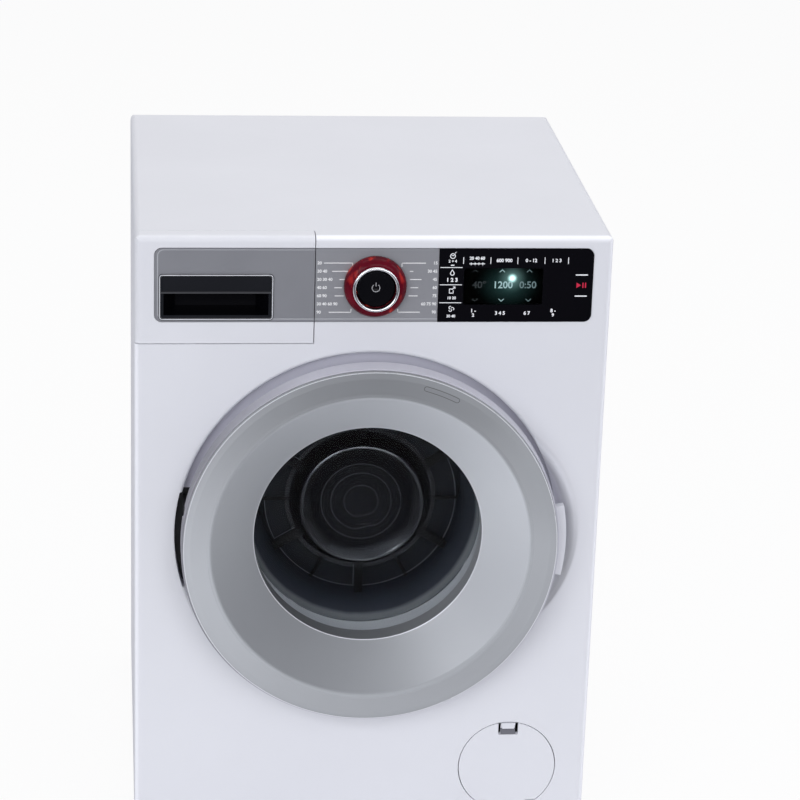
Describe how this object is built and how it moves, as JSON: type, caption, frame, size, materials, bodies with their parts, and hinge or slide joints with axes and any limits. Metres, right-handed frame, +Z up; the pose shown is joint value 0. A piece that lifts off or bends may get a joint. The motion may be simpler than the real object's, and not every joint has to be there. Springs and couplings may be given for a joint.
{
  "type": "toy washing machine",
  "caption": "Toy front-loading washing machine with an opening door, a turning drum driven by gears, a detergent drawer, a dial with a push button and a service flap.",
  "frame": {"origin": "on the floor under the middle of the whole machine, door ring included", "axes": "+Z up, front towards -Y, +X to the right of someone facing the front"},
  "size_m": [0.185, 0.2012, 0.26],
  "materials": {
    "cabinet_shell": "satin",
    "front_panel": "satin",
    "rear_cover": "matte",
    "base_plate": "matte",
    "feet": "matte",
    "base_screws": "satin",
    "rear_screws": "satin",
    "door_ring": "satin",
    "door_casing": "satin",
    "door_window": "gloss",
    "door_hinge_bracket": "matte",
    "door_hinge_pin": "satin",
    "hinge_screws": "satin",
    "door_catch": "matte",
    "door_seal": "satin",
    "tub": "matte",
    "tub_screws": "satin",
    "bearing_bush": "satin",
    "drum": "gloss",
    "drum_shaft": "satin",
    "drum_gear": "satin",
    "shaft_clip": "satin",
    "motor_pinion": "satin",
    "motor_shaft": "satin",
    "motor": "satin",
    "motor_bracket": "satin",
    "motor_screws": "satin",
    "control_plate": "satin",
    "display_panel": "gloss",
    "display_window": "gloss",
    "display_card": "matte",
    "display_led": "gloss",
    "circuit_board": "satin",
    "board_screws": "satin",
    "push_switch": "satin",
    "dial_ring": "gloss",
    "dial_trim": "polished",
    "dial_click_spring": "satin",
    "push_button": "satin",
    "drawer_front": "satin",
    "drawer_plate": "satin",
    "drawer_handle_cup": "gloss",
    "drawer_handle_trim": "polished",
    "drawer_tray": "satin",
    "drawer_screws": "satin",
    "drawer_housing": "matte",
    "water_duct": "matte",
    "service_flap": "satin",
    "flap_pin": "satin",
    "drain_cup": "matte",
    "drain_cap": "satin",
    "drain_hose": "matte",
    "battery_box": "matte",
    "battery_contacts": "satin",
    "battery_cover": "matte",
    "battery_cover_screw": "satin",
    "loudspeaker": "matte",
    "wiring": "satin"
  },
  "bodies": {
    "cabinet": {"cabinet_shell": "cabinet_shell", "front_panel": "front_panel", "rear_cover": "rear_cover", "base_plate": "base_plate", "feet": "feet", "base_screws": "base_screws", "rear_screws": "rear_screws", "door_hinge_bracket": "door_hinge_bracket", "door_hinge_pin": "door_hinge_pin", "hinge_screws": "hinge_screws", "door_catch": "door_catch", "door_seal": "door_seal", "tub": "tub", "tub_screws": "tub_screws", "bearing_bush": "bearing_bush", "motor": "motor", "motor_bracket": "motor_bracket", "motor_screws": "motor_screws", "control_plate": "control_plate", "display_panel": "display_panel", "display_window": "display_window", "display_card": "display_card", "display_led": "display_led", "circuit_board": "circuit_board", "board_screws": "board_screws", "push_switch": "push_switch", "dial_click_spring": "dial_click_spring", "drawer_housing": "drawer_housing", "water_duct": "water_duct", "flap_pin": "flap_pin", "drain_cup": "drain_cup", "drain_hose": "drain_hose", "battery_box": "battery_box", "battery_contacts": "battery_contacts", "loudspeaker": "loudspeaker", "wiring": "wiring"},
    "door": {"door_ring": "door_ring", "door_casing": "door_casing", "door_window": "door_window"},
    "drawer": {"drawer_front": "drawer_front", "drawer_plate": "drawer_plate", "drawer_handle_cup": "drawer_handle_cup", "drawer_handle_trim": "drawer_handle_trim", "drawer_tray": "drawer_tray", "drawer_screws": "drawer_screws"},
    "dial": {"dial_ring": "dial_ring", "dial_trim": "dial_trim"},
    "button": {"push_button": "push_button"},
    "drum": {"drum": "drum", "drum_shaft": "drum_shaft", "drum_gear": "drum_gear", "shaft_clip": "shaft_clip"},
    "pinion": {"motor_pinion": "motor_pinion", "motor_shaft": "motor_shaft"},
    "flap": {"service_flap": "service_flap"},
    "cap": {"drain_cap": "drain_cap"},
    "battery_lid": {"battery_cover": "battery_cover", "battery_cover_screw": "battery_cover_screw"}
  },
  "joints": [
    {"name": "door_hinge", "type": "hinge", "parent": "cabinet", "child": "door", "pos_m": [-0.0715, -0.0914, 0.1368], "axis": [0, 0, -1], "range_deg": [0, 105]},
    {"name": "drawer_slide", "type": "slide", "parent": "cabinet", "child": "drawer", "axis": [0, -1, 0], "range_m": [0, 0.06]},
    {"name": "dial_turn", "type": "hinge", "parent": "cabinet", "child": "dial", "pos_m": [0, -0.0844, 0.2404], "axis": [0, -1, 0], "continuous": true},
    {"name": "button_press", "type": "slide", "parent": "dial", "child": "button", "axis": [0, 1, 0], "range_m": [0, 0.0015], "stiffness_N_per_m": 400, "springref_m": -0.001},
    {"name": "drum_spin", "type": "hinge", "parent": "cabinet", "child": "drum", "pos_m": [0, -0.0844, 0.1368], "axis": [0, -1, 0], "continuous": true},
    {"name": "pinion_spin", "type": "hinge", "parent": "cabinet", "child": "pinion", "pos_m": [0.01506, -0.0844, 0.11071], "axis": [0, -1, 0], "continuous": true},
    {"name": "flap_hinge", "type": "hinge", "parent": "cabinet", "child": "flap", "pos_m": [0.0601, -0.0829, 0.0147], "axis": [1, 0, 0], "range_deg": [0, 95]},
    {"name": "cap_turn", "type": "hinge", "parent": "cabinet", "child": "cap", "pos_m": [0.0601, -0.0844, 0.0325], "axis": [0, -1, 0], "range_deg": [0, 90]},
    {"name": "battery_lid_tilt", "type": "hinge", "parent": "cabinet", "child": "battery_lid", "pos_m": [0, 0.1006, 0.022], "axis": [-1, 0, 0], "range_deg": [0, 50]}
  ],
  "couplings": [
    {"joint": "pinion_spin", "follows": "drum_spin", "ratio": -4}
  ]
}
